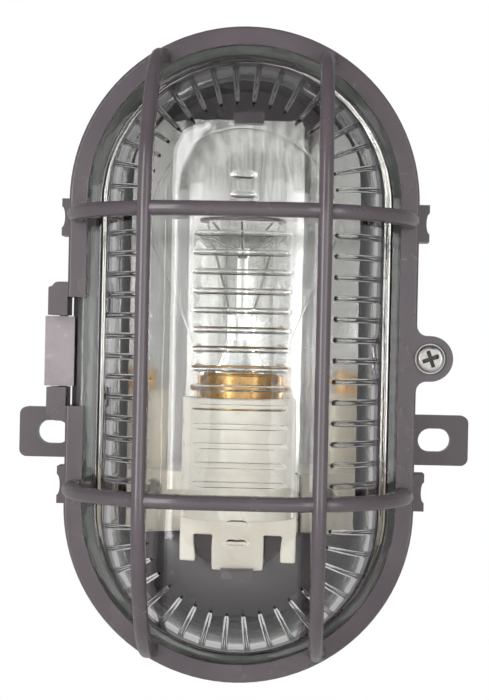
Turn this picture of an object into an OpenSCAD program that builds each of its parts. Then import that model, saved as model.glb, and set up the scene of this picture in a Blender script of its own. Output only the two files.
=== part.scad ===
// Oval bulkhead light: moulded base, hinged cage frame, ribbed glass lens and a screw-cap lamp.
// Millimetres. The wall is the plane y = 0, the light faces -Y and +Z runs up the wall.
// Each piece is drawn lying on its back (x across, y up the wall, z off the wall) and then stood up.

/* [Frame] */
// Outer radius of the frame's round ends
frame_r = 56; // [52:0.5:62]
// Straight length between the two end centres
straight = 98; // [90:1:115]
// Width of the frame's front face
face_w = 5.8; // [5:0.1:6.5]
// Height of the front face off the wall
face_h = 47; // [45:0.5:52]
// Thickness of the lip over the lens
lip_t = 3; // [2:0.1:3.5]
// Thickness of the skirt round the base's rim
skirt_t = 1.8; // [1.4:0.1:2.2]
// Depth of the skirt behind the front face
skirt_d = 14; // [13:0.5:15]
// Rounding of the frame's outer edge
edge_r = 1; // [0.4:0.1:1.3]

/* [Cage bars] */
// Width of a bar, which is also its round nose
bar_w = 4.4; // [3.6:0.1:5]
// Depth of a bar's section
bar_d = 4.6; // [4:0.1:5]
// Distance of the long bars from the middle
bar_x = 26.7; // [24:0.1:29]
// Distance of the short bars from the middle
bar_y = 43.3; // [38:0.1:46]
// Gap between the lens front and the bars
bar_gap = 6; // [5:0.1:8]
// Extra bend radius of the long bars over the lens shoulder
long_bend_extra = 28.5; // [26:0.5:30]
// Bend radius of the short bars
short_bend = 44; // [38:1:48]
// How far the short bars stand in front of the long ones
short_step = 1.6; // [0.5:0.1:2.5]
// Set-back of a bar's foot from the frame's edge
foot_inset = 0.7; // [0.5:0.1:1.2]

/* [Lens] */
// Thickness of the glass wall
lens_t = 3; // [2:0.1:4]
// Thickness of the lens flange
flange_t = 4; // [3:0.1:4.5]
// Room round the flange inside the skirt
lens_room = 1.4; // [1.1:0.1:1.8]
// How far the lens has settled downwards in that room
lens_drop = 0.8; // [0:0.1:0.9]
// Play of the lens between lip, catches and gasket
lens_play = 0.3; // [0.2:0.05:0.5]
// Inset of the dome's foot from the frame's edge
dome_inset = 11.2; // [10.4:0.1:12]
// Inward draft of the dome's side
dome_draft = 1.8; // [0.8:0.1:2.4]
// Rise of the dome over its flange
dome_rise = 42.8; // [38:0.2:46]
// Radius of the dome's shoulder
shoulder_r = 27.5; // [25:0.5:29]
// Width of a moulded rib
rib_w = 1.7; // [1:0.1:2.2]
// Depth of a moulded rib
rib_d = 0.8; // [0.4:0.1:1]
// Distance of the shoulder ribs' inner ends from the dome's middle line
rib_in = 30; // [27:0.5:34]
// Pitch of the ribs along the straight sides
side_pitch = 6.3; // [5:0.1:8]
// Step of the ribs round the ends, in degrees
end_step = 10; // [9:1:15]
// Pitch of the ribs across the front
front_pitch = 5.8; // [5:0.1:7]
// Number of long ribs across the front
front_ribs = 14; // [8:2:14]
// Length of a long front rib
front_len = 29; // [20:1:30]
// Length of the short ribs at both ends of the front
short_len = 7; // [4:0.5:10]
// Thickness of the catches that hold the lens
catch_t = 1.6; // [1.2:0.1:2]
// Length of a catch
catch_len = 9; // [6:0.5:12]
// Distance of the catches from the middle
catch_y = 34; // [30:0.5:36]
// How far a catch reaches under the flange
catch_reach = 1.2; // [0.8:0.1:1.6]

/* [Base] */
// Wall thickness of the tub
wall_t = 2.2; // [1.8:0.1:2.6]
// Thickness of the floor against the wall
floor_t = 2.4; // [2:0.1:3.2]
// Width of the ledge that stands out from the tub
ledge_w = 6.3; // [5.5:0.1:7]
// Thickness of that ledge
ledge_t = 2.9; // [2.2:0.1:3.6]
// How far the ledge stays inside the frame's edge
ledge_inset = 0.4; // [0.2:0.1:1]
// Inward taper of the tub towards the wall
tub_taper = 2.8; // [1:0.1:4]
// Gap between the skirt and the base's rim
rim_gap = 0.7; // [0.6:0.05:0.9]
// Thickness of the rim
rim_t = 1.9; // [1.5:0.1:2.2]
// Gap between skirt, ear or catches and the base behind them
close_gap = 0.6; // [0.5:0.05:0.8]

/* [Gasket] */
// Width of the gasket
gasket_w = 3.6; // [3:0.1:3.8]
// Height of the gasket
gasket_t = 5; // [4:0.1:5.6]
// Gap between the gasket and the rim
gasket_gap = 0.3; // [0.2:0.05:0.5]

/* [Hinge] */
// Half-height of the notch in the frame
notch_half = 17.5; // [16.5:0.1:20]
// Half-height of the hinge block on the base
block_half = 11.3; // [9.5:0.1:12]
// Width of the hinge block
block_w = 8.6; // [7:0.1:9]
// How far the block stands in front of the hinge axis
block_front = 6.2; // [4:0.1:6.4]
// How far the block reaches behind the hinge axis
block_back = 6; // [4:0.1:8]
// Width of a hinge arm
arm_w = 5.2; // [4.6:0.1:5.4]
// Height of the arm's foot where it leaves the frame
arm_foot = 4.8; // [4:0.1:6]
// Rounding of the arm's outer corner
arm_round = 2.4; // [1:0.1:3]
// Distance of the hinge axis outside the frame
hinge_out = 2.6; // [2.5:0.1:3.2]
// Radius of the hinge stubs
stub_r = 1.4; // [1:0.05:1.6]
// Length of a hinge stub
stub_len = 4.5; // [3.5:0.1:5]
// Radial running clearance of the hinge
stub_gap = 0.06; // [0.03:0.01:0.09]
// End gap between arm and block
end_gap = 0.3; // [0.2:0.05:0.5]

/* [Closing screw] */
// Distance of the screw outside the frame
ear_out = 4.3; // [3:0.1:6]
// Radius of the ear
ear_r = 7.3; // [6.8:0.1:8.5]
// Fillet between ear and frame
ear_fillet = 3.2; // [1:0.1:4]
// Core radius of the screw
screw_r = 2; // [1.6:0.1:2.2]
// Depth of the thread
thread_d = 0.5; // [0.45:0.01:0.6]
// Rounding of the head's crown
crown_r = 1.3; // [0.8:0.1:1.6]
// Length of the cross recess
cross_len = 5.4; // [4:0.1:6]
// Width of the cross recess
cross_w = 1.2; // [0.8:0.1:1.6]
// Depth of the cross recess
cross_d = 1.5; // [1:0.1:1.8]
// Turn of the cross recess, in degrees
cross_turn = 20; // [0:5:85]
// Radius of the screw's head
head_r = 4.4; // [3.6:0.1:4.6]
// Height of the screw's head
head_t = 3; // [2:0.1:4]
// Length of screw in the insert
grip = 7; // [5:0.1:8]
// Radius of the washer
washer_r = 4.8; // [4.6:0.1:5]
// Thickness of the washer
washer_t = 0.8; // [0.5:0.1:1.2]
// Depth of the recess for the washer
recess_d = 1.4; // [0.8:0.1:2]
// Radial room of the screw in the ear and of the washer in its recess
screw_room = 0.4; // [0.3:0.05:0.6]
// Wall of the threaded insert
insert_wall = 1.2; // [0.8:0.1:1.4]
// Length of the threaded insert
insert_len = 10; // [9:0.1:12]
// Radial fit of the insert in its boss
insert_fit = 0.05; // [0.02:0.01:0.08]
// Wall of the boss round the insert
boss_wall = 2.2; // [1.6:0.1:2.6]
// Floor of the boss under the insert
boss_floor = 2; // [1:0.1:4]

/* [Wall fixing] */
// Distance between the two fixing slots
slot_spacing = 130; // [126:1:140]
// Width of a fixing slot
slot_w = 8; // [5:0.1:8.5]
// Length of a fixing slot
slot_len = 11; // [9:0.1:12]
// Distance of the lugs below the middle
lug_below = 28; // [24:0.5:32]
// Height of a lug
lug_w = 17; // [15:0.5:20]
// Thickness of a lug
lug_t = 6; // [4:0.5:8]
// Plastic beyond the outer end of a slot
lug_end = 6; // [4:0.5:8]
// Rounding of a lug's corners
lug_round = 2.5; // [1:0.1:4]
// Thickness of a lug's two gussets
gusset_t = 2.2; // [1.6:0.1:3]
// Height of the gussets over the lug
gusset_rise = 12; // [6:0.5:14]
// Reach of the gussets from the tub
gusset_run = 12; // [8:0.5:13]
// Distance of the side saddles from the middle
saddle_y = 44; // [42:0.5:46]
// Height of a saddle
saddle_len = 12.2; // [10:0.1:14]
// How far a saddle stands out from the ledge
saddle_out = 5; // [3:0.1:6]
// Thickness of a saddle
saddle_t = 10; // [6:0.5:12]
// Radius of the groove in a saddle
saddle_groove = 3.4; // [2:0.1:4]

/* [Cable entry] */
// Radius of the hole in the base's lower end
entry_r = 8; // [7:0.1:9]
// Radius of the grommet's cable hole
cable_r = 4.5; // [3:0.1:5]
// How far the grommet's flanges overlap the wall
grommet_lip = 2; // [1.2:0.1:2.4]
// Thickness of each grommet flange
grommet_t = 2; // [1.4:0.1:2.2]
// Room between the grommet and the wall it grips
grommet_gap = 0.15; // [0.1:0.05:0.25]
// Width of the flat boss round the grommet's flange
entry_rim = 0.6; // [0.4:0.1:1]

/* [Reflector] */
// Sheet thickness
sheet_t = 0.6; // [0.4:0.1:0.8]
// Height of the sheet off the wall
sheet_h = 10; // [9:0.2:12]
// Half-width of the flat middle
sheet_flat = 19.6; // [19.2:0.1:21]
// Reach of a folded wing from its fold
wing_run = 21; // [16:0.5:22]
// Rise of a folded wing
wing_rise = 14; // [10:0.5:16]
// Upper end of the sheet above the middle
sheet_top = 80; // [76:0.5:82]
// Lower end of the sheet below the middle
sheet_low = 60; // [56:0.5:62]
// Radius of the posts under the sheet
post_r = 3; // [2:0.1:4]
// Width of the hooks
hook_w = 10.4; // [8:0.1:12]
// Thickness of the hooks
hook_t = 2.4; // [1.6:0.1:3]
// How far the hooks reach over the sheet and the holder
hook_over = 1.6; // [1:0.1:2]
// Distance of the posts from the middle line
post_x = 14.7; // [12:0.1:15]
// Distance of the upper posts from the sheet's upper end
post_drop = 12; // [8:0.5:16]

/* [Lampholder] */
// Radius of the porcelain body
holder_r = 18.2; // [17.4:0.1:19]
// Mouth of the holder below the middle
holder_mouth = 13.5; // [12:0.5:16]
// Length of the round body
holder_len = 38; // [36:0.5:42]
// Depth of the holder's bore
bore_len = 26; // [25:0.5:28]
// Width of the plinth
plinth_w = 38; // [36:0.2:38.4]
// Height of the plinth off the wall
plinth_h = 40; // [36:0.5:42]
// Upper end of the plinth below the middle
plinth_top = 40; // [38:0.5:42]
// Lower end of the plinth's side feet below the middle
plinth_low = 67; // [64:0.5:70]
// How much longer the middle tongue is
tongue_extra = 2.6; // [1:0.1:4]
// Width of the middle tongue
tongue_w = 16.4; // [14:0.1:17]
// Width of the two notches
notch_w = 5.6; // [4:0.1:6]
// Depth of the two notches
notch_len = 9; // [6:0.5:11]
// Room between the plinth and the base's rails and catch
plinth_gap = 0.3; // [0.2:0.05:0.5]
// Height of the pad under the plinth
pad_h = 12; // [11.4:0.2:13]
// Inset of the pad from the plinth's edges
pad_inset = 1; // [0.5:0.1:2]
// How far the rails stay behind the plinth's front
rail_back = 6; // [4:0.5:10]
// Radius of the terminal pockets
pocket_r = 3.4; // [2.6:0.1:3.8]
// Depth of the terminal pockets
pocket_d = 8; // [7:0.1:9]
// Height of the terminals off the wall
terminal_h = 24; // [20:0.5:28]
// Distance of the terminals below the middle
terminal_low = 47; // [45:0.5:52]
// Length of a terminal clamp
clamp_len = 4.2; // [3:0.1:4.6]
// Height of a terminal screw's head
terminal_head = 2; // [1.4:0.1:2.2]
// Radius of a terminal screw's head
terminal_r = 2.5; // [2:0.1:2.6]
// Width of a terminal screw's slot
terminal_slot = 0.8; // [0.5:0.1:1]
// Wall of the screw shell
shell_t = 0.6; // [0.4:0.1:0.8]
// Length of the screw shell
shell_len = 20; // [18:0.5:22]
// Room between bulb cap, shell and porcelain
shell_gap = 0.35; // [0.2:0.05:0.45]
// Thickness of the centre contact's strip
strip_t = 0.8; // [0.5:0.1:1.2]
// Width of that strip
strip_w = 6.4; // [5:0.1:7]
// Gap between that strip and the lamp's end contact
contact_gap = 0.1; // [0.05:0.05:0.2]

/* [Bulb] */
// Radius of the bulb
bulb_r = 30; // [25:0.5:31]
// Glass thickness of the bulb
bulb_t = 0.5; // [0.4:0.1:0.8]
// Distance of the bulb's centre from its cap
bulb_rise = 48; // [45:0.5:50]
// Radius of the neck
neck_r = 15.2; // [14.4:0.1:16]
// Straight length of the neck
neck_len = 9; // [7:0.5:12]
// Top edge of the cap below the middle
cap_top = 5.4; // [4:0.2:8]
// Outer radius of the cap
cap_r = 13.2; // [12.8:0.1:13.4]
// Wall of the cap
cap_t = 0.5; // [0.3:0.05:0.6]
// Length of the cap's shell
cap_len = 22; // [21:0.2:23]
// Thickness of the cap's rolled bead
cap_bead = 0.8; // [0.6:0.1:1]
// Radius of the hole in the cap's end
cap_hole_r = 10.6; // [10:0.1:11]
// Length of the glass neck inside the cap
plug_len = 10; // [8:0.5:14]
// Depth of the black insulator
insulator_t = 3.2; // [2.4:0.1:3.6]
// Width of the insulator round the end contact
insulator_rim = 1; // [0.6:0.1:1.6]
// Thickness of the end contact
contact_t = 1; // [0.6:0.1:1.2]
// Radius of the end contact
contact_r = 4.6; // [4:0.1:5]
// Height of the stem's press over the cap's edge
press_rise = 18; // [14:0.5:22]
// Radius of the stem's press
press_r = 4.4; // [3.8:0.1:5]
// Length of the stem's press
press_len = 8; // [6:0.5:10]
// Radius of the stem's glass rod
rod_r = 1.6; // [1:0.1:2]
// Gap between the stem and what it carries
stem_gap = 0.2; // [0.1:0.05:0.3]
// Radius of the rod's button
button_r = 2.4; // [2:0.1:3]
// Height of the glass rod's button over the cap's edge
button_rise = 38; // [34:0.5:40]
// Radius of the filament's arc
arc_r = 13; // [10:0.5:15]
// Angle by which the arc runs past a half circle at each end, in degrees
arc_past = 30; // [20:1:40]
// Radius of the filament's coil
coil_r = 0.6; // [0.4:0.05:0.8]
// Radius of the lead and support wires
wire_r = 0.4; // [0.3:0.05:0.5]

/* [Hidden] */
$fn = 96;
eps = 0.01;
// How far a cutting shape runs past the face it cuts
past = 1;

// Heights off the wall, from the front face inwards
lip_h = face_h - lip_t;
skirt_back = face_h - skirt_d;
flange_top = lip_h - lens_play;
flange_back = flange_top - flange_t;
gasket_top = flange_back - lens_play;
gasket_seat = gasket_top - gasket_t;
catch_top = flange_back - lens_play;
rim_top = catch_top - catch_t - close_gap;
ledge_top = skirt_back - close_gap;
ledge_back = ledge_top - ledge_t;
dome_h = flange_top + dome_rise;
long_top = dome_h + bar_gap + bar_d;
short_top = long_top + short_step;
long_bend = shoulder_r + long_bend_extra;
lamp_h = (sheet_h + dome_h) / 2;

// Radii about the end centres
face_in = frame_r - face_w;
skirt_in = frame_r - skirt_t;
flange_r = skirt_in - lens_room;
catch_in = flange_r - catch_reach;
rim_r = skirt_in - rim_gap;
rim_in = rim_r - rim_t;
ledge_r = frame_r - ledge_inset;
tub_r = ledge_r - ledge_w;
tub_in = tub_r - wall_t;
tub_back_r = tub_r - tub_taper;
entry_in = tub_back_r - wall_t;
entry_wall = tub_r - entry_in;
gasket_r = min(rim_in, catch_in) - gasket_gap;
dome_r = frame_r - dome_inset;
shoulder_h = dome_h - shoulder_r;
shoulder_c = dome_r - dome_draft - shoulder_r;

// Hinge and closing screw
hinge_x = frame_r + hinge_out;
hinge_h = skirt_back;
arm_start = block_half + end_gap;
arm_end = notch_half + arm_foot;
ear_x = frame_r + ear_out;
recess_h = face_h - recess_d;
screw_tip = ledge_top - grip;
insert_bore = screw_r + thread_d;
insert_r = insert_bore + insert_wall;
boss_r = insert_r + boss_wall;

// Wall fixing
slot_x = slot_spacing / 2;
lug_tip = slot_x + slot_len / 2 + lug_end;

// Lamp and lampholder, along the lamp's axis
holder_low = holder_mouth + holder_len;
bore_low = holder_mouth + bore_len;
shell_in = cap_r + shell_gap;
shell_out = shell_in + shell_t;
bore_r = shell_out + shell_gap;
cap_low = cap_top + cap_len;
contact_low = cap_low + insulator_t + contact_t;
strip_top = contact_low + contact_gap;
bulb_y = bulb_rise - cap_top;
plug_r = cap_r - cap_t - shell_gap;
bulb_low = cap_top + plug_len;
button_y = button_rise - cap_top;
press_y = press_rise - cap_top;
rail_w = notch_w - 2 * plinth_gap;
rail_x = tongue_w / 2 + notch_w / 2;
tongue_low = plinth_low + tongue_extra;

plastic = "#6b6267";
rubber = "#2a2a2b";
brass = "#b08d4a";
steel = "#9a9a98";
porcelain = "#dfd7c8";
clear_glass = "#c9d6d1";
wire = "#8d8780";

// Stands a piece up against the wall
module upright() {
    rotate([90, 0, 0]) children();
}

// Puts a piece that was drawn along +Z on the lamp's axis
module along_lamp() {
    translate([0, 0, lamp_h]) rotate([-90, 0, 0]) children();
}

// The oval outline with round ends
module oval(r) {
    square([2 * r, straight], center = true);
    for (s = [-1, 1]) translate([0, s * straight / 2]) circle(r);
}

// Sweeps a profile of (radius, height) round the oval
module round_oval() {
    for (turn = [0, 180]) rotate(turn) {
        translate([0, straight / 2, 0]) rotate_extrude(angle = 180) children();
        translate([0, straight / 2, 0]) rotate([90, 0, 0]) linear_extrude(straight) children();
    }
}

// A round rod between two points
module rod(from, to, r) {
    way = to - from;
    lean = acos(way.z / norm(way));
    translate(from) rotate([0, lean, atan2(way.y, way.x)]) cylinder(h = norm(way), r = r);
}

// A rectangle given by its two corners
module field(low, high) {
    translate(low) square(high - low);
}

// A block given by its two corners
module block(low, high) {
    translate(low) cube(high - low);
}

// Inside or outside of the dome in section, from its back edge to its front
module dome_section(inset, back) {
    side_r = dome_r - inset;
    polygon([[0, back], [side_r, back], [side_r, flange_top], [side_r - dome_draft, shoulder_h],
        [0, shoulder_h]]);
    intersection() {
        translate([shoulder_c, shoulder_h]) circle(shoulder_r - inset);
        field([shoulder_c, shoulder_h], [dome_r, dome_h]);
    }
    field([0, shoulder_h], [shoulder_c, dome_h - inset]);
}

module lens_section() {
    difference() {
        union() {
            field([0, flange_back], [flange_r, flange_top]);
            dome_section(0, flange_back);
        }
        dome_section(lens_t, flange_back - past);
    }
}

// The section of a rib up the inside of the dome's side and over its shoulder
module rib_section() {
    intersection() {
        difference() {
            dome_section(lens_t - rib_d, flange_top + rib_w);
            dome_section(lens_t + rib_d, flange_top);
        }
        field([rib_in, flange_top + rib_w], [dome_r, dome_h]);
    }
}

// One rib across the inside of the dome's front, with round ends
module front_rib(length) {
    translate([0, 0, dome_h - lens_t - rib_d]) linear_extrude(2 * rib_d) {
        square([length - rib_w, rib_w], center = true);
        for (s = [-1, 1]) translate([s * (length - rib_w) / 2, 0]) circle(rib_w / 2);
    }
}

module lens_ribs() {
    sides = floor(straight / side_pitch);
    spread = rib_w / (dome_r - lens_t) * 180 / PI;
    for (turn = [0, 180]) rotate(turn) {
        for (a = [end_step / 2 : end_step : 180 - end_step / 2])
            translate([0, straight / 2, 0]) rotate(a - spread / 2)
                rotate_extrude(angle = spread) rib_section();
        for (i = [0 : sides - 1])
            translate([0, (i - (sides - 1) / 2) * side_pitch + rib_w / 2, 0]) rotate([90, 0, 0])
                linear_extrude(rib_w) rib_section();
        for (k = [1.5, 2.5])
            translate([0, (front_ribs / 2 + k) * front_pitch, 0]) front_rib(short_len);
    }
    for (i = [0 : front_ribs - 1])
        translate([0, (i - (front_ribs - 1) / 2) * front_pitch, 0]) front_rib(front_len);
}

module glass_lens() {
    color(clear_glass, 0.5) translate([0, -lens_drop, 0]) {
        round_oval() lens_section();
        lens_ribs();
    }
}

// The frame's section: a lip over the lens and a skirt round the base's rim
module frame_section() {
    field([skirt_in, skirt_back], [frame_r, face_h - edge_r]);
    field([face_in, lip_h], [frame_r - edge_r, face_h]);
    translate([frame_r - edge_r, face_h - edge_r]) circle(edge_r);
}

// A bar's section, with y pointing out of the cage
module bar_section() {
    field([-bar_w / 2, 0], [bar_w / 2, bar_d - bar_w / 2]);
    translate([0, bar_d - bar_w / 2]) circle(bar_w / 2);
}

// An arched bar along x, with its feet in the frame's face
module cage_bar(half_span, top, bend) {
    sunk = lip_t / 2;
    rise = top - face_h;
    over = max(0, bend - rise);
    low = asin(max(0, over - sunk) / bend);
    flat_half = half_span - foot_inset - sqrt(bend * bend - over * over);
    for (turn = [0, 180]) rotate(turn) {
        translate([0, 0, top - bar_d]) rotate([90, 0, 90]) linear_extrude(flat_half) bar_section();
        translate([flat_half, 0, top - bend]) {
            rotate([90, 0, 0]) rotate(90) rotate_extrude(angle = low - 90)
                translate([bend - bar_d, 0]) rotate(-90) bar_section();
            if (rise > bend) translate([bend - bar_d, 0, bend - rise - sunk])
                linear_extrude(rise - bend + sunk) rotate(-90) bar_section();
        }
    }
}

module cage_bars() {
    long_half = straight / 2 + sqrt(frame_r * frame_r - bar_x * bar_x);
    for (s = [-1, 1]) {
        translate([s * bar_x, 0, 0]) rotate(90) cage_bar(long_half, long_top, long_bend);
        translate([0, s * bar_y, 0]) cage_bar(frame_r, short_top, short_bend);
    }
}

// One L-shaped hinge arm above the hinge block, with a blind bore for the base's stub
module hinge_arm() {
    outer = -hinge_x - arm_w / 2;
    inner = -hinge_x + arm_w / 2;
    difference() {
        union() {
            translate([0, 0, hinge_h]) linear_extrude(skirt_d - edge_r / 2) {
                field([outer, arm_start], [inner, arm_end - arm_round]);
                field([outer + arm_round, notch_half], [inner, arm_end]);
                translate([outer + arm_round, arm_end - arm_round]) circle(arm_round);
            }
            block([inner - eps, notch_half, hinge_h], [-skirt_in, arm_end, face_h - edge_r / 2]);
            translate([-hinge_x, arm_end - arm_round, hinge_h]) rotate([90, 0, 0])
                cylinder(h = arm_end - arm_round - arm_start, r = arm_w / 2);
        }
        translate([-hinge_x, arm_start - past, hinge_h]) rotate([-90, 0, 0])
            cylinder(h = stub_len + past, r = stub_r + stub_gap);
    }
}

// The ear for the closing screw, with fillets into the frame's side
module closing_ear() {
    reach = ear_r + ear_fillet;
    translate([0, 0, skirt_back]) linear_extrude(skirt_d) intersection() {
        union() {
            translate([ear_x, 0]) circle(ear_r);
            field([skirt_in, -ear_r], [ear_x, ear_r]);
            for (s = [-1, 1]) difference() {
                field([skirt_in, min(s * ear_r, s * reach)],
                    [frame_r + ear_fillet, max(s * ear_r, s * reach)]);
                translate([frame_r + ear_fillet, s * reach]) circle(ear_fillet);
            }
        }
        field([skirt_in, -reach], [ear_x + ear_r, reach]);
    }
}

// The screw's hole through the ear and the recess for its washer
module ear_hole() {
    translate([ear_x, 0, skirt_back - past]) cylinder(h = skirt_d + 2 * past, r = insert_bore + screw_room);
    translate([ear_x, 0, recess_h]) cylinder(h = recess_d + past, r = washer_r + screw_room);
}

// Four moulded catches that keep the lens in the frame
module lens_catches() {
    root = skirt_in + skirt_t / 2;
    for (sx = [-1, 1]) for (sy = [-1, 1])
        translate([sx * (catch_in + root) / 2, sy * catch_y, catch_top - catch_t / 2])
            cube([root - catch_in, catch_len, catch_t], center = true);
}

module cage_frame() {
    color(plastic) {
        difference() {
            union() {
                round_oval() frame_section();
                closing_ear();
            }
            block([-frame_r - past, -notch_half, skirt_back - past],
                [-face_in + past, notch_half, face_h + past]);
            ear_hole();
        }
        lens_catches();
        cage_bars();
        hinge_arm();
        mirror([0, 1, 0]) hinge_arm();
    }
}

module gasket() {
    color(rubber) round_oval() field([gasket_r - gasket_w, gasket_seat], [gasket_r, gasket_top]);
}

// The tub's wall, its ledge, the gasket seat and the rim in section
module base_section() {
    polygon([[tub_back_r - wall_t, 0], [tub_back_r, 0], [tub_r, ledge_back], [ledge_r, ledge_back],
        [ledge_r, ledge_top], [rim_r, ledge_top], [rim_r, rim_top], [rim_in, rim_top],
        [rim_in, gasket_seat], [tub_in, gasket_seat], [tub_in, ledge_back]]);
}

// One fixing lug on the right, with its slot and two gussets
module fixing_lug() {
    half = lug_w / 2;
    start = tub_back_r - wall_t / 2;
    rib_end = tub_back_r + gusset_run;
    translate([0, -lug_below, 0]) {
        difference() {
            linear_extrude(lug_t) {
                field([start, -half], [lug_tip - lug_round, half]);
                field([start, lug_round - half], [lug_tip, half - lug_round]);
                for (s = [-1, 1])
                    translate([lug_tip - lug_round, s * (half - lug_round)]) circle(lug_round);
            }
            translate([slot_x, 0, -past]) linear_extrude(lug_t + 2 * past) {
                square([slot_len - slot_w, slot_w], center = true);
                for (s = [-1, 1]) translate([s * (slot_len - slot_w) / 2, 0]) circle(slot_w / 2);
            }
        }
        for (low = [-half, half - gusset_t])
            translate([0, low + gusset_t, 0]) rotate([90, 0, 0]) linear_extrude(gusset_t)
                polygon([[start, 0], [rib_end, 0], [rib_end, lug_t], [tub_back_r, lug_t + gusset_rise],
                    [start, lug_t + gusset_rise]]);
    }
}

// A side saddle under the ledge, with a round groove
module side_saddle() {
    top = ledge_top - ledge_t / 2;
    difference() {
        block([tub_in + wall_t / 2, saddle_y - saddle_len / 2, top - saddle_t],
            [ledge_r + saddle_out, saddle_y + saddle_len / 2, top]);
        translate([ledge_r + saddle_out, saddle_y, top - saddle_t - past])
            cylinder(h = saddle_t + 2 * past, r = saddle_groove);
    }
}

// The hinge block on the left with a stub at each end
module hinge_block() {
    block([-hinge_x - block_w / 2, -block_half, hinge_h - block_back],
        [-ledge_r + ledge_w / 2, block_half, ledge_top]);
    block([-hinge_x - block_w / 2, -block_half, ledge_top - eps],
        [-hinge_x + block_w / 2, block_half, hinge_h + block_front]);
    translate([-hinge_x, 0, hinge_h]) rotate([90, 0, 0])
        cylinder(h = 2 * (block_half + stub_len - end_gap), r = stub_r, center = true);
}

// The boss for the closing screw's insert, tied back to the tub
module screw_boss() {
    low = ledge_top - insert_len - boss_floor;
    translate([0, 0, low]) linear_extrude(ledge_top - low) {
        translate([ear_x, 0]) circle(boss_r);
        field([tub_in + wall_t / 2, -boss_r], [ear_x, boss_r]);
    }
}

// A hook that stands on the floor at y and reaches down the wall over a face at the given height
module hook(y, height) {
    block([-hook_w / 2, y, floor_t - eps], [hook_w / 2, y + hook_t, height + hook_t]);
    block([-hook_w / 2, y - hook_over, height], [hook_w / 2, y + hook_t, height + hook_t]);
}

// The pad, rails and hook that carry the lampholder
module holder_seat() {
    pad_low = -plinth_low + notch_len + pad_inset;
    block([pad_inset - plinth_w / 2, pad_low, floor_t - eps],
        [plinth_w / 2 - pad_inset, -plinth_top - pad_inset, pad_h]);
    for (s = [-1, 1]) translate([s * rail_x, 0, 0])
        block([-rail_w / 2, -plinth_low, floor_t - eps],
            [rail_w / 2, -plinth_low + notch_len - plinth_gap, plinth_h - rail_back]);
    mirror([0, 1, 0]) hook(tongue_low + plinth_gap, plinth_h + plinth_gap);
}

// The posts under the reflector and the hook over its upper edge
module reflector_seat() {
    for (s = [-1, 1]) for (y = [sheet_top - post_drop, 0])
        translate([s * post_x, y, floor_t - eps]) cylinder(h = sheet_h - floor_t + eps, r = post_r);
    hook(sheet_top + plinth_gap, sheet_h + sheet_t + plinth_gap);
}

// Places a piece that was drawn along +Z on the cable entry's axis, pointing down the wall
module along_entry() {
    translate([0, -straight / 2, (floor_t + ledge_back) / 2]) rotate([90, 0, 0]) children();
}

// Flat inner and outer faces round the cable entry, so that the grommet seats square
module entry_boss() {
    translate([0, 0, entry_in]) cylinder(h = entry_wall, r = entry_r + grommet_lip + entry_rim);
}

module base() {
    color(plastic) difference() {
        union() {
            round_oval() base_section();
            linear_extrude(floor_t) oval(tub_back_r - wall_t / 2);
            fixing_lug();
            mirror([1, 0, 0]) fixing_lug();
            for (mx = [0, 1]) for (my = [0, 1]) mirror([mx, 0, 0]) mirror([0, my, 0]) side_saddle();
            hinge_block();
            screw_boss();
            holder_seat();
            reflector_seat();
            along_entry() entry_boss();
        }
        translate([ear_x, 0, ledge_top - insert_len])
            cylinder(h = insert_len + past, r = insert_r + insert_fit);
        along_entry() translate([0, 0, entry_in - wall_t]) cylinder(h = frame_r, r = entry_r);
    }
}

module cable_grommet() {
    color(rubber) along_entry() rotate_extrude() {
        lip_r = entry_r + grommet_lip;
        field([cable_r, entry_in - grommet_gap - grommet_t], [lip_r, entry_in - grommet_gap]);
        field([cable_r, entry_in - grommet_gap - eps],
            [entry_r - grommet_gap, entry_in + entry_wall + grommet_gap + eps]);
        field([cable_r, entry_in + entry_wall + grommet_gap],
            [lip_r, entry_in + entry_wall + grommet_gap + grommet_t]);
    }
}

module screw_insert() {
    color(brass) translate([ear_x, 0, ledge_top - insert_len]) difference() {
        cylinder(h = insert_len, r = insert_r);
        translate([0, 0, -past]) cylinder(h = insert_len + 2 * past, r = insert_bore);
    }
}

module closing_screw() {
    under = recess_h + washer_t;
    color(steel) translate([ear_x, 0, 0]) difference() {
        union() {
            translate([0, 0, screw_tip]) cylinder(h = under - screw_tip + eps, r = screw_r);
            translate([0, 0, under]) rotate_extrude() {
                field([0, 0], [head_r, head_t - crown_r]);
                intersection() {
                    translate([head_r - crown_r, head_t - crown_r]) circle(crown_r);
                    field([0, 0], [head_r, head_t]);
                }
                field([0, 0], [head_r - crown_r, head_t]);
            }
        }
        for (turn = [0, 90]) translate([0, 0, under + head_t]) rotate(turn + cross_turn)
            cube([cross_len, cross_w, 2 * cross_d], center = true);
    }
}

module screw_washer() {
    color(steel) translate([ear_x, 0, recess_h]) difference() {
        cylinder(h = washer_t, r = washer_r);
        translate([0, 0, -past]) cylinder(h = washer_t + 2 * past, r = insert_bore);
    }
}

// The folded sheet in section across the light
module sheet_section() {
    length = norm([wing_run, wing_rise]);
    up = [-wing_rise, wing_run] * sheet_t / length;
    tip = [sheet_flat + wing_run, sheet_h + wing_rise];
    root = [sheet_flat, sheet_h];
    inner = [sheet_flat + up.x * wing_rise / (length + wing_run), sheet_h + sheet_t];
    right = [root, tip, tip + up, inner];
    left = [for (i = [3 : -1 : 0]) [-right[i].x, right[i].y]];
    polygon(concat(right, left));
}

module reflector() {
    slot_half = plinth_w / 2 + plinth_gap;
    slot_top = -plinth_top + plinth_gap;
    color("#d9d8d6") difference() {
        intersection() {
            translate([0, sheet_top, 0]) rotate([90, 0, 0])
                linear_extrude(sheet_top + sheet_low) sheet_section();
            linear_extrude(ledge_top) oval(tub_back_r - wall_t - plinth_gap);
        }
        block([-slot_half, -sheet_low - past, sheet_h - past], [slot_half, slot_top, ledge_top]);
    }
}

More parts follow.
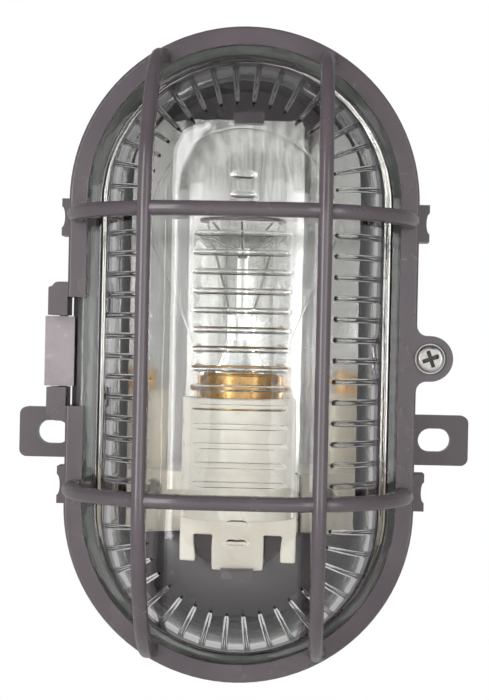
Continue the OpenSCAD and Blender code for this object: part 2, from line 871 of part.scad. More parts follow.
module holder_body() {
    color(porcelain) difference() {
        union() {
            along_lamp() translate([0, 0, -holder_low]) cylinder(h = holder_len, r = holder_r);
            block([-plinth_w / 2, -plinth_low, pad_h], [plinth_w / 2, -plinth_top, plinth_h]);
            block([-tongue_w / 2, -tongue_low, pad_h], [tongue_w / 2, -plinth_top, plinth_h]);
        }
        along_lamp() translate([0, 0, -bore_low]) cylinder(h = bore_len + past, r = bore_r);
        for (s = [-1, 1]) {
            translate([s * rail_x, 0, 0])
                block([-notch_w / 2, -plinth_low - past, pad_h - past],
                    [notch_w / 2, -plinth_low + notch_len, plinth_h + past]);
            translate([s * plinth_w / 2, -terminal_low, terminal_h]) rotate([0, 90, 0])
                cylinder(h = 2 * pocket_d, r = pocket_r, center = true);
        }
    }
}

module holder_shell() {
    color(brass) along_lamp() translate([0, 0, -bore_low]) difference() {
        cylinder(h = shell_len, r = shell_out);
        translate([0, 0, -past]) cylinder(h = shell_len + 2 * past, r = shell_in);
    }
}

// A bent strip that stands on the holder's floor and meets the bulb's end contact
module holder_contact() {
    color(brass) along_lamp() translate([0, strip_w / 2, 0]) rotate([90, 0, 0])
        linear_extrude(strip_w) {
            field([-contact_r, -strip_top - strip_t], [contact_r, -strip_top]);
            field([-contact_r, -bore_low], [-contact_r + strip_t, -strip_top]);
            field([-contact_r, -bore_low], [contact_r, -bore_low + strip_t]);
        }
}

// Runs its children at both terminal pockets, along +Z out of the pocket
module at_terminals() {
    for (s = [-1, 1])
        translate([s * (plinth_w / 2 - pocket_d), -terminal_low, terminal_h])
            rotate([0, s * 90, 0]) children();
}

module terminal_clamps() {
    color(brass) at_terminals() cylinder(h = clamp_len, r = pocket_r - shell_gap);
}

module terminal_screws() {
    color(steel) at_terminals() translate([0, 0, clamp_len]) difference() {
        cylinder(h = terminal_head, r = terminal_r);
        translate([0, 0, terminal_head])
            cube([2 * terminal_r + past, terminal_slot, terminal_head], center = true);
    }
}

// The bulb's outline as a solid of revolution, inset for its inside
module bulb_outline(inset) {
    r = bulb_r - inset;
    corner = [neck_r - inset, neck_len - cap_top] - [0, bulb_y];
    touch = atan2(corner.y, corner.x) + acos(r / norm(corner));
    neck_low = -cap_top + inset;
    difference() {
        translate([0, bulb_y]) circle(r);
        field([-bulb_r - past, bulb_y - bulb_r - past], [0, bulb_y + bulb_r + past]);
    }
    polygon([[0, neck_low], [neck_r - inset, neck_low], [neck_r - inset, neck_len - cap_top],
        [r * cos(touch), bulb_y + r * sin(touch)], [0, bulb_y]]);
    field([0, -bulb_low - inset], [plug_r - inset, neck_low + eps]);
}

module bulb_glass() {
    color(clear_glass, 0.3) along_lamp() rotate_extrude() difference() {
        bulb_outline(0);
        bulb_outline(bulb_t);
    }
}

module bulb_cap() {
    color(brass) along_lamp() rotate_extrude() {
        field([cap_r - cap_t, -cap_low], [cap_r, -cap_top - cap_bead / 4]);
        translate([cap_r, -cap_top - cap_bead]) circle(cap_bead / 2, $fn = 24);
        field([cap_hole_r, -cap_low], [cap_r, -cap_low + cap_t]);
    }
}

module cap_insulator() {
    end = -cap_low - insulator_t;
    color("#1c1b1d") along_lamp() rotate_extrude()
        polygon([[0, -cap_low], [cap_hole_r, -cap_low], [contact_r + insulator_rim, end], [0, end]]);
}

module cap_contact() {
    color("#b9b4a8") along_lamp() translate([0, 0, -contact_low]) cylinder(h = contact_t, r = contact_r);
}

// Flared glass stem with its press, rod and button
module bulb_stem() {
    flare_r = plug_r - bulb_t - stem_gap;
    flare_low = -bulb_low + bulb_t;
    press_low = press_y - press_len;
    color(clear_glass, 0.5) along_lamp() rotate_extrude() {
        difference() {
            polygon([[0, flare_low], [flare_r, flare_low], [press_r, press_low], [press_r, press_y],
                [0, press_y]]);
            polygon([[0, flare_low - past], [flare_r - bulb_t, flare_low - past],
                [flare_r - bulb_t, flare_low], [press_r - 2 * bulb_t, press_low], [0, press_low]]);
        }
        field([0, press_y - eps], [rod_r, button_y]);
        intersection() {
            translate([0, button_y]) circle(button_r, $fn = 32);
            field([0, button_y - button_r], [button_r, button_y + button_r]);
        }
    }
}

// A point of the filament's arc, in the frame along the lamp's axis
function arc_point(a) = [arc_r * cos(a), arc_r * sin(a), bulb_y];

module lead_wires() {
    end_drop = [0, 0, coil_r + wire_r];
    color(wire) along_lamp() for (a = [arc_past, 180 - arc_past]) {
        foot = [sign(cos(a)) * (press_r - 2 * wire_r), 0, press_y + wire_r];
        rod(foot, arc_point(a) - end_drop, wire_r);
    }
}

module support_wires() {
    end_drop = [0, 0, coil_r + wire_r];
    color(wire) along_lamp() for (a = [-135, -90, -45]) {
        foot = [0, 0, button_y] + [cos(a), sin(a), 0] * (button_r + stem_gap);
        rod(foot, arc_point(a) - end_drop, wire_r);
    }
}

module filament() {
    color("#5a5856") along_lamp() translate([0, 0, bulb_y]) rotate(180 - arc_past)
        rotate_extrude(angle = 180 + 2 * arc_past) translate([arc_r, 0]) circle(coil_r, $fn = 24);
}

upright() base();
upright() cable_grommet();
upright() gasket();
upright() screw_insert();
upright() reflector();
upright() holder_body();
upright() holder_shell();
upright() holder_contact();
upright() terminal_clamps();
upright() terminal_screws();
upright() bulb_glass();
upright() bulb_cap();
upright() cap_insulator();
upright() cap_contact();
upright() bulb_stem();
upright() lead_wires();
upright() support_wires();
upright() filament();
upright() glass_lens();
upright() cage_frame();
upright() closing_screw();
upright() screw_washer();
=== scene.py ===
import math

import bpy
import numpy as np
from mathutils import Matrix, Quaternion, Vector


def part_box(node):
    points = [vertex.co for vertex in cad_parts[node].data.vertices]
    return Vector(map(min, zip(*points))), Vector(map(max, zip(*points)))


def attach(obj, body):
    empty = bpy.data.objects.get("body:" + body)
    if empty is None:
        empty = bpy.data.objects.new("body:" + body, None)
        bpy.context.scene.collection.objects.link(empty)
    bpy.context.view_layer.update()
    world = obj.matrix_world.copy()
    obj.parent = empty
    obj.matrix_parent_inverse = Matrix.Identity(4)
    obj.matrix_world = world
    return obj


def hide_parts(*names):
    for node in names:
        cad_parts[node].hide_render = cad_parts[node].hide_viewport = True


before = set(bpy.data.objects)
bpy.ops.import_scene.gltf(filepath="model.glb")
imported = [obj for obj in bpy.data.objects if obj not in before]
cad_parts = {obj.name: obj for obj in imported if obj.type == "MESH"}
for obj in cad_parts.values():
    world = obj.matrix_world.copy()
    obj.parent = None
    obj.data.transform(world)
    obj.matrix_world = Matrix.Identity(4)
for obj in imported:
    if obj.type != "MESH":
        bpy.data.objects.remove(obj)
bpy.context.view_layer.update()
bpy.context.scene.view_settings.view_transform = "Standard"
# Light crosses the lens and the bulb twice on its way to the sheet and back, and glass that is blurred
# after a matt bounce would hold some of it back
GLASS_BOUNCES = 32
bpy.context.scene.cycles.max_bounces = GLASS_BOUNCES
bpy.context.scene.cycles.transmission_bounces = GLASS_BOUNCES
bpy.context.scene.cycles.blur_glossy = 0.0

# Sizes are written in millimetres and turned to metres here
MM = 0.001

# The photograph's height in pixels, and the focal length that its perspective gives
PHOTO_H = 700
FOCAL_PX = 1899
SENSOR = 36.0

# Where the camera stands: off the front face, to the right of the middle and above it
FACE_Y = -47 * MM
CAMERA_AWAY = 606 * MM
CAMERA_RIGHT = 19 * MM
CAMERA_UP = 5 * MM
CAMERA_ROLL = math.radians(1.2)
AIM_RIGHT = 1.1 * MM
AIM_UP = 1.6 * MM


def srgb(hex_colour):
    """Linear RGBA of an sRGB hex colour."""
    parts = [int(hex_colour[i:i + 2], 16) / 255 for i in (1, 3, 5)]
    return tuple(c / 12.92 if c <= 0.04045 else ((c + 0.055) / 1.055) ** 2.4 for c in parts) + (1.0,)


def deselect():
    """Leaves object mode with nothing selected."""
    if bpy.context.mode != "OBJECT":
        bpy.ops.object.mode_set(mode="OBJECT")
    bpy.ops.object.select_all(action="DESELECT")


# Materials

def add(tree, kind, values=None, links=None, **settings):
    """Adds a node, sets its values and links it: links maps an input to (node, output)."""
    node = tree.nodes.new(kind)
    for name, value in settings.items():
        setattr(node, name, value)
    for name, value in (values or {}).items():
        node.inputs[name].default_value = value
    for name, (source, output) in (links or {}).items():
        tree.links.new(source.outputs[output], node.inputs[name])
    return node


def new_material(name, **values):
    """A material with one Principled shader, whose plain values are given by socket name."""
    material = bpy.data.materials.new(name)
    material.use_nodes = True
    tree = material.node_tree
    shader = tree.nodes["Principled BSDF"]
    for socket, value in values.items():
        shader.inputs[socket.replace("_", " ")].default_value = value
    return material, tree, shader


# Between these a noise does most of its drifting
NOISE_LOW, NOISE_HIGH = 0.3, 0.7


def noise_on(tree, size_mm, stretch, detail):
    """A noise with patches of the given size, fixed to the piece."""
    place = add(tree, "ShaderNodeTexCoord")
    turn = add(tree, "ShaderNodeMapping", {"Scale": stretch}, {"Vector": (place, "Object")})
    return add(tree, "ShaderNodeTexNoise", {"Scale": 1 / (size_mm * MM), "Detail": detail},
               {"Vector": (turn, "Vector")})


def mottle(tree, shader, dark, light, size_mm, stretch=(1, 1, 1)):
    """Colour that drifts between two shades in patches of the given size; gives the noise for other uses."""
    noise = noise_on(tree, size_mm, stretch, 4)
    ramp = add(tree, "ShaderNodeValToRGB", links={"Fac": (noise, "Fac")})
    for stop, place, colour in zip(ramp.color_ramp.elements, (NOISE_LOW, NOISE_HIGH), (dark, light)):
        stop.position = place
        stop.color = srgb(colour)
    tree.links.new(ramp.outputs["Color"], shader.inputs["Base Color"])
    return noise


def vary_roughness(tree, shader, noise, smooth, rough):
    """Roughness between two limits, following a noise."""
    span = add(tree, "ShaderNodeMapRange",
               {"From Min": NOISE_LOW, "From Max": NOISE_HIGH, "To Min": smooth, "To Max": rough},
               {"Value": (noise, "Fac")})
    tree.links.new(span.outputs["Result"], shader.inputs["Roughness"])


def grain(tree, shader, size_mm, height_mm, stretch=(1, 1, 1)):
    """Fine relief of the given grain size and height."""
    noise = noise_on(tree, size_mm, stretch, 2)
    bump = add(tree, "ShaderNodeBump", {"Strength": 1.0, "Distance": height_mm * MM},
               {"Height": (noise, "Fac")})
    tree.links.new(bump.outputs["Normal"], shader.inputs["Normal"])


def moulded_plastic(name, dark, light, size_mm):
    """Moulded PVC: satin from the tool, with faint flow clouds."""
    material, tree, shader = new_material(name, IOR=1.54)
    noise = mottle(tree, shader, dark, light, size_mm)
    vary_roughness(tree, shader, noise, 0.21, 0.29)
    grain(tree, shader, 0.9, 0.006)
    return material


def pressed_glass():
    """Pressed soda-lime glass: clear with a breath of green, fire polished, slightly wavy."""
    material, tree, shader = new_material(
        "pressed_soda_glass", Base_Color=srgb("#fdfefd"), Roughness=0.0, IOR=1.52, Transmission_Weight=1.0)
    grain(tree, shader, 16, 0.12)
    return material


def blown_glass():
    """Blown lamp glass: a wall so thin that it bends hardly any light, and shines from its skin."""
    material, tree, shader = new_material(
        "blown_lamp_glass", Base_Color=srgb("#ffffff"), Roughness=0.0, IOR=1.005, Transmission_Weight=1.0,
        Coat_Weight=0.12, Coat_Roughness=0.02, Coat_IOR=1.5)
    grain(tree, shader, 12, 0.02)
    return material


def pressed_stem_glass():
    """Clear lead glass of the lamp's stem, pinched while it was soft."""
    material, tree, shader = new_material(
        "pinched_lead_glass", Base_Color=srgb("#fdfefe"), Roughness=0.05, IOR=1.12, Transmission_Weight=1.0)
    grain(tree, shader, 3, 0.05)
    return material


def rolled_aluminium():
    """Bright rolled aluminium sheet: silvery, with soft streaks and shallow ripples along the rolling."""
    material, tree, shader = new_material("rolled_aluminium", Metallic=1.0)
    noise = mottle(tree, shader, "#eceae7", "#f3f2ef", 1.2, stretch=(1, 1, 0.04))
    vary_roughness(tree, shader, noise, 0.12, 0.18)
    grain(tree, shader, 9, 0.12, stretch=(1, 1, 0.12))
    return material


def cream_porcelain():
    """Glazed porcelain: warm cream with small glaze pools under a clear gloss."""
    material, tree, shader = new_material("cream_porcelain", IOR=1.5, Coat_Weight=0.4, Coat_Roughness=0.08)
    noise = mottle(tree, shader, "#f0e8da", "#f8f2e8", 5)
    vary_roughness(tree, shader, noise, 0.25, 0.4)
    grain(tree, shader, 2.2, 0.02)
    return material


def metal(name, dark, light, size_mm, smooth, rough):
    """A plain metal that drifts between two shades and two roughnesses."""
    material, tree, shader = new_material(name, Metallic=1.0)
    noise = mottle(tree, shader, dark, light, size_mm)
    vary_roughness(tree, shader, noise, smooth, rough)
    return material


def rubber(name, dark, light):
    """Moulded rubber: matt, with a dusty bloom."""
    material, tree, shader = new_material(name, IOR=1.5)
    noise = mottle(tree, shader, dark, light, 3)
    vary_roughness(tree, shader, noise, 0.6, 0.75)
    grain(tree, shader, 0.5, 0.02)
    return material


def black_vitrite():
    """Black glass fused into the cap's end: glossy and nearly even."""
    material, tree, shader = new_material("black_vitrite", IOR=1.52)
    noise = mottle(tree, shader, "#121113", "#1e1d20", 3)
    vary_roughness(tree, shader, noise, 0.08, 0.18)
    return material


# Grey PVC with a mauve tint, and a paler copy of it: painted light for a face turned to the lamps
grey_plastic = moulded_plastic("moulded_grey_plastic", "#544c51", "#5c5458", 14)
painted_light_plastic = moulded_plastic("painted_light_grey_plastic", "#938b8e", "#a09799", 5)
lens_glass = pressed_glass()
bulb_clear = blown_glass()
stem_clear = pressed_stem_glass()
sheet = rolled_aluminium()
porcelain = cream_porcelain()
# Black rubber of the inlet, and the seal's, which has gone grey under the glass
black_rubber = rubber("black_rubber", "#1c1c1d", "#2b2b2c")
grey_rubber = rubber("bloomed_rubber", "#535551", "#62645f")
vitrite = black_vitrite()
# Stamped brass: browned by the lamp's heat, and a little dull
brass = metal("stamped_brass", "#b98f5a", "#d8b27c", 2.5, 0.22, 0.36)
# Zinc-plated steel: pale, slightly blue, with fine cloudy patches
zinc = metal("zinc_plated_steel", "#a9a8a4", "#c6c5c2", 1.5, 0.24, 0.38)
# The same, darkened as painted shade down in the cross recess
painted_shade_zinc = metal("painted_shade_zinc", "#3c3935", "#6b6862", 0.7, 0.35, 0.5)
# Soft solder: grey and dull
solder = metal("soft_solder", "#9c9890", "#b8b4ac", 1.2, 0.35, 0.5)
# Nickel wire: grey with a soft shine
nickel = metal("nickel_wire", "#aeaaa4", "#c8c4be", 1.0, 0.3, 0.45)
# Drawn tungsten: grey and dull
tungsten = metal("drawn_tungsten", "#8f8c88", "#a8a5a1", 0.8, 0.4, 0.55)

finishes = {
    "base": grey_plastic, "cage_frame": grey_plastic, "cable_grommet": black_rubber, "gasket": grey_rubber,
    "screw_insert": brass, "holder_shell": brass, "holder_contact": brass, "terminal_clamps": brass,
    "bulb_cap": brass, "reflector": sheet, "holder_body": porcelain, "terminal_screws": zinc,
    "closing_screw": zinc, "screw_washer": zinc, "bulb_glass": bulb_clear, "bulb_stem": stem_clear,
    "cap_insulator": vitrite, "cap_contact": solder, "lead_wires": nickel, "support_wires": nickel,
    "filament": tungsten, "glass_lens": lens_glass,
}
for name, finish in finishes.items():
    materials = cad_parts[name].data.materials
    materials.clear()
    materials.append(finish)


def pick_points(piece, wanted):
    """Selects, in edit mode, the points of a piece whose place in millimetres is wanted."""
    bpy.ops.object.mode_set(mode="EDIT")
    bpy.ops.mesh.select_mode(type="VERT")
    bpy.ops.mesh.select_all(action="DESELECT")
    bpy.ops.object.mode_set(mode="OBJECT")
    for point in piece.data.vertices:
        point.select = wanted(*(point.co / MM))
    bpy.ops.object.mode_set(mode="EDIT")


# How far the bars and the hinge go to the left, how far the saddles draw in, and what is left of their hollow
BARS_LEFT = 1.2 * MM
HINGE_LEFT = 1.0 * MM
SADDLE_IN = 0.6 * MM
SADDLE_SHARE = 0.3

# Where the solids have these, in millimetres as pick_points gives them
BAR_X, BAR_REACH = 26.7, 2.9
BAR_FOOT_Y, BAR_FRONT_Y = -48.5, -97.2
SHORT_BAR_Z, SHORT_BAR_REACH = 43.3, 2.6
HINGE_FACE_X, HINGE_BACK_Y = -61, -24
ARMS_REACH, BLOCK_REACH = 26, 12
SADDLE_X, SADDLE_EDGE_X = 57, 61
SADDLE_Z, SADDLE_REACH = 44, 7
SADDLE_FRONT_Y, SADDLE_BACK_Y = -32, -20


def on_long_bar(x, y, z):
    """On a long bar, off the frame's ring and off the short bars that lie on top."""
    along = abs(abs(x) - BAR_X) < BAR_REACH and y < BAR_FOOT_Y
    return along and (y > BAR_FRONT_Y or abs(abs(z) - SHORT_BAR_Z) > SHORT_BAR_REACH)


def on_saddles(side):
    """A test for the hollowed edges of one side's saddles."""
    return lambda x, y, z: (x * side > SADDLE_X and abs(abs(z) - SADDLE_Z) < SADDLE_REACH
                            and SADDLE_FRONT_Y < y < SADDLE_BACK_Y)


def on_hinge(reach):
    """A test for the hinge's left faces, up and down to the given reach."""
    return lambda x, y, z: x < HINGE_FACE_X and abs(z) < reach and y < HINGE_BACK_Y


def shape_cage(piece):
    """Sets the long bars and the hinge arms to the left."""
    pick_points(piece, on_long_bar)
    bpy.ops.transform.translate(value=(-BARS_LEFT, 0, 0))
    pick_points(piece, on_hinge(ARMS_REACH))
    bpy.ops.transform.translate(value=(-HINGE_LEFT, 0, 0))


def shape_base(piece):
    """Makes the saddles shallow and sets the hinge block's outer face to the left."""
    for side in (-1, 1):
        pick_points(piece, on_saddles(side))
        bpy.ops.transform.resize(value=(SADDLE_SHARE, 1, 1), center_override=(side * SADDLE_EDGE_X * MM, 0, 0))
        bpy.ops.transform.translate(value=(-side * SADDLE_IN, 0, 0))
    pick_points(piece, on_hinge(BLOCK_REACH))
    bpy.ops.transform.translate(value=(-HINGE_LEFT, 0, 0))


# Points closer than this are one, faces this near to flat are one, and edges from this angle on are rounded
SAME_POINT = 0.001 * MM
FLAT_TO = math.radians(0.5)
ROUND_FROM = math.radians(35)
SMOOTH_TO = math.radians(40)


def softened(node, name, width_mm, body, shape=None):
    """A copy of a solid, shaped further if asked, with its sharp edges rounded; it stands for that solid."""
    deselect()
    piece = bpy.data.objects.new(name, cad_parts[node].data.copy())
    bpy.context.scene.collection.objects.link(piece)
    piece.select_set(True)
    bpy.context.view_layer.objects.active = piece
    bpy.ops.mesh.customdata_custom_splitnormals_clear()
    bpy.ops.object.mode_set(mode="EDIT")
    bpy.ops.mesh.select_all(action="SELECT")
    bpy.ops.mesh.remove_doubles(threshold=SAME_POINT)
    bpy.ops.mesh.dissolve_limited(angle_limit=FLAT_TO)
    if shape:
        shape(piece)
    bpy.ops.object.mode_set(mode="OBJECT")
    bpy.ops.object.modifier_add(type="BEVEL")
    bevel = piece.modifiers[-1]
    bevel.width = width_mm * MM
    bevel.segments = 3
    bevel.limit_method = "ANGLE"
    bevel.angle_limit = ROUND_FROM
    bevel.miter_outer = "MITER_ARC"
    bpy.ops.object.modifier_apply(modifier=bevel.name)
    bpy.ops.object.shade_smooth_by_angle(angle=SMOOTH_TO)
    bpy.ops.object.modifier_add(type="WEIGHTED_NORMAL")
    piece.modifiers[-1].keep_sharp = True
    bpy.ops.object.modifier_apply(modifier=piece.modifiers[-1].name)
    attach(piece, body)
    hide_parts(node)
    return piece


softened("cage_frame", "cage_moulding", 0.5, "cage", shape_cage)
base_moulding = softened("base", "base_moulding", 0.5, "base", shape_base)
softened("holder_body", "lampholder", 0.8, "base")
cross_screw = softened("closing_screw", "cross_screw", 0.2, "screw")

# The front of the hinge block is painted paler: painted light on a face turned to the lamps
BLOCK_RIGHT, BLOCK_HALF, BLOCK_FRONT = -55 * MM, 11.4 * MM, -38 * MM
base_moulding.data.materials.append(painted_light_plastic)
for face in base_moulding.data.polygons:
    x, y, z = face.center
    if x < BLOCK_RIGHT and abs(z) < BLOCK_HALF and y < BLOCK_FRONT and face.normal.y < -0.9:
        face.material_index = 1

# The cross recess is painted dark: painted shade in the hollow
SCREW_X, HEAD_TOP, RECESS_R = 60.3 * MM, -49.4 * MM, 2.9 * MM
RECESS_SHADE_FROM, RECESS_SHADE_TO = 0.15 * MM, 1.6 * MM
cross_screw.data.materials.append(painted_shade_zinc)
for face in cross_screw.data.polygons:
    x, y, z = face.center
    if math.hypot(x - SCREW_X, z) < RECESS_R and RECESS_SHADE_FROM < y - HEAD_TOP < RECESS_SHADE_TO:
        face.material_index = 1


# The pressed lens. Its half-round ribs need a mesh whose lines follow them, so it is drawn as one grid:
# a section of the glass, from the front's middle over the flange and back inside, at each step
# round the oval.
LENS_WALL = 3 * MM
FLANGE_THICK = 4 * MM
FLANGE_WIDE = 7.4 * MM
FLANGE_ROUND = 0.8 * MM
FOOT_FILLET = 2 * MM
DOME_DRAFT = 1.8 * MM
SHOULDER_R = 29 * MM
RIB_HALF = 0.9 * MM
RIB_DEEP, FRONT_DEEP = 0.7 * MM, 0.5 * MM
RIB_RUN_OUT = 2.2 * MM
RIB_FROM_AXIS = 27.3 * MM
RIB_OFF_FLANGE = 1.7 * MM
SIDE_RIBS, SIDE_PITCH = 15, 6.3 * MM
END_RIBS = 18
FRONT_RIBS, FRONT_PITCH, FRONT_RIB_LONG = 14, 5.8 * MM, 29 * MM
SHORT_RIB_LONG = 7 * MM
# How far the lens has settled in the frame's room for it, beside the CAD's own place
LENS_RIGHT, LENS_DOWN = 0.9 * MM, 0.2 * MM
GLASS_SMOOTH_TO = math.radians(38)
# How many front ribs' pitches past the last long rib the short ones stand
SHORT_RIB_STEPS = (1.5, 2.5)
# Where the grid's lines lie across a rib, in half-widths, and over its end, in run-outs
ACROSS_RIB = (-1.1, -0.96, -0.62, 0, 0.62, 0.96, 1.1)
OVER_RIB_END = (-1.05, -0.98, -0.88, -0.7, -0.45, 0)
# The grid's lines near the middle of the front, along the ribs and where the straight sides end
MIDDLE_TO, MIDDLE_STEP, MIDDLE_LAST = 8.4 * MM, 0.4 * MM, 10.5 * MM
FRONT_EDGE = 1 * MM
BEFORE_RIB = 2 * MM
IN_FROM_RIB_END = 3.5 * MM
SIDE_END_LINES = (0.2 * MM, 0.4 * MM, 0.7 * MM)
SIDE_END_GAP = 0.1 * MM


def arc_points(centre, radius, start, end, steps):
    """Points on an arc between two angles in degrees, both ends included."""
    angles = np.radians(np.linspace(start, end, steps))
    return [(centre[0] + radius * math.cos(a), centre[1] + radius * math.sin(a)) for a in angles]


def ribbed_lens():
    """The pressed lens with its ribs; it stands for the solid lens and rides with the cage."""
    low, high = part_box("glass_lens")
    flange_r = (high.x - low.x) / 2
    straight = high.z - low.z - 2 * flange_r
    middle_x = (high.x + low.x) / 2 + LENS_RIGHT
    middle_z = (high.z + low.z) / 2 - LENS_DOWN
    front, back = -low.y, -high.y
    flange_top = back + FLANGE_THICK
    dome_r = flange_r - FLANGE_WIDE
    turn_r = dome_r - DOME_DRAFT - SHOULDER_R
    turn_h = front - SHOULDER_R
    inner_r = SHOULDER_R - LENS_WALL

    # Outside of the section, as (radius, height off the wall)
    outside = [(0, front), (turn_r * 0.5, front)]
    outside += arc_points((turn_r, turn_h), SHOULDER_R, 90, 0, 18)
    outside += arc_points((dome_r + FOOT_FILLET, flange_top + FOOT_FILLET), FOOT_FILLET, 180, 270, 7)
    outside += arc_points((flange_r - FLANGE_ROUND, flange_top - FLANGE_ROUND), FLANGE_ROUND, 90, 0, 4)
    outside += arc_points((flange_r - FLANGE_ROUND, back + FLANGE_ROUND), FLANGE_ROUND, 0, -90, 4)
    outside += [(dome_r - LENS_WALL, back)]

    # Inside of the section: a flat, the shoulder's arc and the drafted side, by length along it
    side_foot = (dome_r - LENS_WALL, flange_top)
    side_head = (turn_r + inner_r, turn_h)
    arc_long = inner_r * math.pi / 2
    side_way = (side_foot[0] - side_head[0], side_foot[1] - side_head[1])
    side_long = math.hypot(*side_way)
    rib_start = turn_r + inner_r * (math.pi / 2 - math.acos((RIB_FROM_AXIS - turn_r) / inner_r))
    rib_end = turn_r + arc_long + side_long - RIB_OFF_FLANGE

    def inside_at(s):
        """Radius and height at a length along the inside, and the way into the hollow."""
        if s <= turn_r:
            return s, front - LENS_WALL, 0, -1
        if s <= turn_r + arc_long:
            a = math.pi / 2 - (s - turn_r) / inner_r
            in_r, in_h = -math.cos(a), -math.sin(a)
            return turn_r - inner_r * in_r, turn_h - inner_r * in_h, in_r, in_h
        t = (s - turn_r - arc_long) / side_long
        return side_head[0] + t * side_way[0], side_head[1] + t * side_way[1], -1, 0

    # Lengths along the inside at which the grid has a line
    near_end = np.array(OVER_RIB_END) * RIB_RUN_OUT
    stations = list(np.arange(0, MIDDLE_TO, MIDDLE_STEP)) + [MIDDLE_LAST]
    stations += list(FRONT_RIB_LONG / 2 - RIB_RUN_OUT - near_end)
    stations += list(np.linspace(turn_r + FRONT_EDGE, rib_start - BEFORE_RIB, 6))
    stations += list(rib_start + RIB_RUN_OUT + near_end)
    stations += list(np.linspace(rib_start + IN_FROM_RIB_END, rib_end - IN_FROM_RIB_END, 17))
    stations += list(rib_end - RIB_RUN_OUT - near_end) + [turn_r + arc_long + side_long]
    stations = sorted(stations)

    # Steps round the oval: the z at which a section starts, its angle, and whether a straight side has it
    across = np.array(ACROSS_RIB) * RIB_HALF
    side_z = [(i - (SIDE_RIBS - 1) / 2) * SIDE_PITCH for i in range(SIDE_RIBS)]
    front_z = [(i - (FRONT_RIBS - 1) / 2) * FRONT_PITCH for i in range(FRONT_RIBS)]
    short_z = [s * (FRONT_RIBS / 2 + k) * FRONT_PITCH for s in (-1, 1) for k in SHORT_RIB_STEPS]
    end_a = [math.radians(180 / END_RIBS * (i + 0.5)) for i in range(END_RIBS)]
    half = straight / 2
    lines = [z + d for z in side_z + front_z for d in across]
    lines += [e * (half - d) for e in (-1, 1) for d in SIDE_END_LINES]
    lines = sorted(z for z in lines if abs(z) < half - SIDE_END_GAP)
    turns = sorted(a + d / side_foot[0] for a in end_a for d in across)
    turns = [0.0] + turns + [math.pi]
    steps = [(half, a, False) for a in turns]
    steps += [(z, math.pi, True) for z in reversed(lines)]
    steps += [(-half, math.pi + a, False) for a in turns]
    steps += [(z, 2 * math.pi, True) for z in lines]

    def rib_height(x, z, s, angle, on_side):
        """How far the glass stands in at a place: a half circle across each rib, with round ends."""
        front_height = 0.0
        for places, length in ((front_z, FRONT_RIB_LONG), (short_z, SHORT_RIB_LONG)):
            gap = min(abs(z - place) for place in places)
            past = max(0.0, abs(x) - (length / 2 - RIB_RUN_OUT))
            if s < turn_r + FRONT_EDGE:
                front_height = max(front_height, 1 - (gap / RIB_HALF) ** 2 - (past / RIB_RUN_OUT) ** 2)
        past = max(0.0, rib_start + RIB_RUN_OUT - s, s - rib_end + RIB_RUN_OUT)
        if on_side:
            gap = min(abs(z - place) for place in side_z)
        else:
            gap = min(abs(angle % math.pi - place) for place in end_a) * side_foot[0]
        height = max(0.0, 1 - (gap / RIB_HALF) ** 2 - (past / RIB_RUN_OUT) ** 2)
        return max(FRONT_DEEP * math.sqrt(front_height), RIB_DEEP * math.sqrt(height))

    verts = []
    for z0, angle, on_side in steps:
        way_x, way_z = math.cos(angle), math.sin(angle)
        for r, h in outside:
            verts.append((middle_x + r * way_x, -h, middle_z + z0 + r * way_z))
        for s in reversed(stations):
            r, h, in_r, in_h = inside_at(s)
            deep = rib_height(r * way_x, z0 + r * way_z, s, angle, on_side)
            r, h = r + deep * in_r, h + deep * in_h
            verts.append((middle_x + r * way_x, -h, middle_z + z0 + r * way_z))
    rows = len(outside) + len(stations)
    count = len(steps)
    faces = [(i * rows + j, i * rows + j + 1, (i + 1) % count * rows + j + 1, (i + 1) % count * rows + j)
             for i in range(count) for j in range(rows - 1)]
    mesh = bpy.data.meshes.new("ribbed_lens")
    mesh.from_pydata(verts, [], faces)
    lens = bpy.data.objects.new("ribbed_lens", mesh)
    bpy.context.scene.collection.objects.link(lens)
    mesh.materials.append(lens_glass)
    deselect()
    lens.select_set(True)
    bpy.context.view_layer.objects.active = lens
    bpy.ops.object.mode_set(mode="EDIT")
    bpy.ops.mesh.select_all(action="SELECT")
    bpy.ops.mesh.remove_doubles(threshold=SAME_POINT)
    bpy.ops.mesh.normals_make_consistent(inside=False)
    bpy.ops.object.mode_set(mode="OBJECT")
    bpy.ops.object.shade_smooth_by_angle(angle=GLASS_SMOOTH_TO)
    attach(lens, "cage")
    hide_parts("glass_lens")


ribbed_lens()


# Studio: a white surround, a pale floor below the view, and soft lamps

# The light of the surround on matt surfaces, and what gloss and glass see of it: at the sides,
# behind the camera, and the share of both that is left overhead
SKY_STRENGTH = 0.42
SIDE_STRENGTH = 0.45
ROOM_STRENGTH = 0.1
CEILING_SHARE = 0.3
# Where it dims, as parts of a direction: towards the camera along Y, and upwards along Z
CAMERA_SIDE, CAMERA_SIDE_END = -0.985, -0.75
CEILING_START, CEILING_FULL = 0.05, 0.6


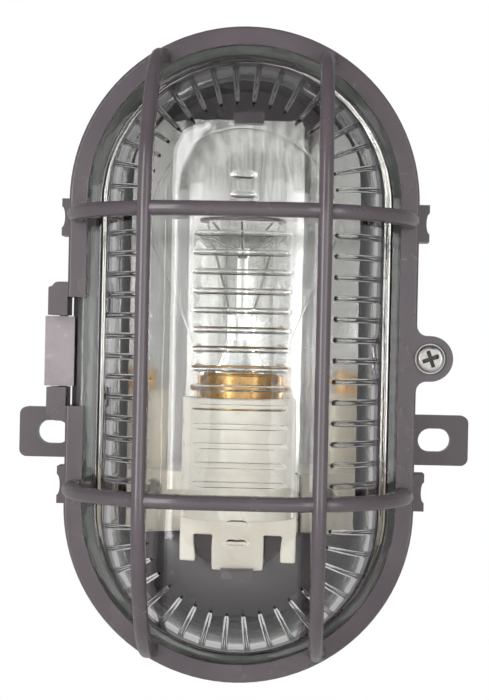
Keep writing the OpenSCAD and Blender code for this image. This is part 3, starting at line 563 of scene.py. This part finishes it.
def white_surround():
    """White to the camera; gloss and glass see it dim behind the camera and above; a soft sky for the rest."""
    world = bpy.data.worlds.new("white_surround")
    bpy.context.scene.world = world
    world.use_nodes = True
    tree = world.node_tree
    tree.nodes.clear()
    path = add(tree, "ShaderNodeLightPath")
    place = add(tree, "ShaderNodeTexCoord")
    way = add(tree, "ShaderNodeSeparateXYZ", links={"Vector": (place, "Generated")})
    room = add(tree, "ShaderNodeMapRange",
               {"From Min": CAMERA_SIDE, "From Max": CAMERA_SIDE_END,
                "To Min": ROOM_STRENGTH, "To Max": SIDE_STRENGTH},
               {"Value": (way, "Y")}, interpolation_type="SMOOTHSTEP")
    height = add(tree, "ShaderNodeMapRange",
                 {"From Min": CEILING_START, "From Max": CEILING_FULL, "To Min": 1.0, "To Max": CEILING_SHARE},
                 {"Value": (way, "Z")}, interpolation_type="SMOOTHSTEP")
    studio = add(tree, "ShaderNodeMath", links={0: (room, "Result"), 1: (height, "Result")},
                 operation="MULTIPLY")
    sees = add(tree, "ShaderNodeMath", links={0: (path, "Is Glossy Ray"), 1: (path, "Is Transmission Ray")},
               operation="MAXIMUM")
    strength = add(tree, "ShaderNodeMapRange", {"To Min": SKY_STRENGTH},
                   {"Value": (sees, 0), "To Max": (studio, 0)})
    white = add(tree, "ShaderNodeMath", links={0: (strength, "Result"), 1: (path, "Is Camera Ray")},
                operation="MAXIMUM")
    glow = add(tree, "ShaderNodeBackground", {"Color": (1, 1, 1, 1)}, {"Strength": (white, 0)})
    add(tree, "ShaderNodeOutputWorld", links={"Surface": (glow, "Background")})


def soft_box(name, place, width, height, power):
    """A soft box that faces the object; its place, width and height are in metres and its power in watts."""
    turn = (-Vector(place)).to_track_quat("-Z", "Y")
    bpy.ops.object.light_add(type="AREA", location=place, rotation=turn.to_euler())
    lamp = bpy.context.object
    lamp.name = name
    lamp.data.shape = "RECTANGLE"
    lamp.data.size = width
    lamp.data.size_y = height
    lamp.data.energy = power


deselect()
white_surround()
soft_box("left_box", (-0.58, -0.94, 0.25), 0.35, 1.2, 7.4)
soft_box("right_box", (0.66, -0.88, 0.1), 0.35, 1.2, 3.4)
soft_box("left_front_box", (-0.7, -2.03, 0.015), 1.19, 0.47, 3.4)
soft_box("right_front_box", (0.64, -2.03, 0.015), 1.33, 0.47, 4.4)

deselect()
FLOOR_Y, FLOOR_Z, FLOOR_WIDE = -600 * MM, -300 * MM, 2000 * MM
bpy.ops.mesh.primitive_plane_add(size=FLOOR_WIDE, location=(0, FLOOR_Y, FLOOR_Z))
floor = bpy.context.object
floor.name = "floor"
floor_paint, floor_tree, floor_shader = new_material("pale_floor", Roughness=0.8)
mottle(floor_tree, floor_shader, "#eeeeed", "#f4f4f3", 60)
floor.data.materials.append(floor_paint)


def photo_camera():
    """A camera at the photograph's place, with its perspective."""
    place = Vector((CAMERA_RIGHT, FACE_Y - CAMERA_AWAY, CAMERA_UP))
    aim = Vector((AIM_RIGHT, FACE_Y, AIM_UP))
    turn = (aim - place).to_track_quat("-Z", "Y") @ Quaternion((0, 0, 1), CAMERA_ROLL)
    bpy.ops.object.camera_add(location=place, rotation=turn.to_euler())
    camera = bpy.context.object
    camera.name = "photo_camera"
    camera.data.sensor_fit = "VERTICAL"
    camera.data.sensor_height = SENSOR
    camera.data.lens = FOCAL_PX / PHOTO_H * SENSOR
    bpy.context.scene.camera = camera


deselect()
photo_camera()
deselect()
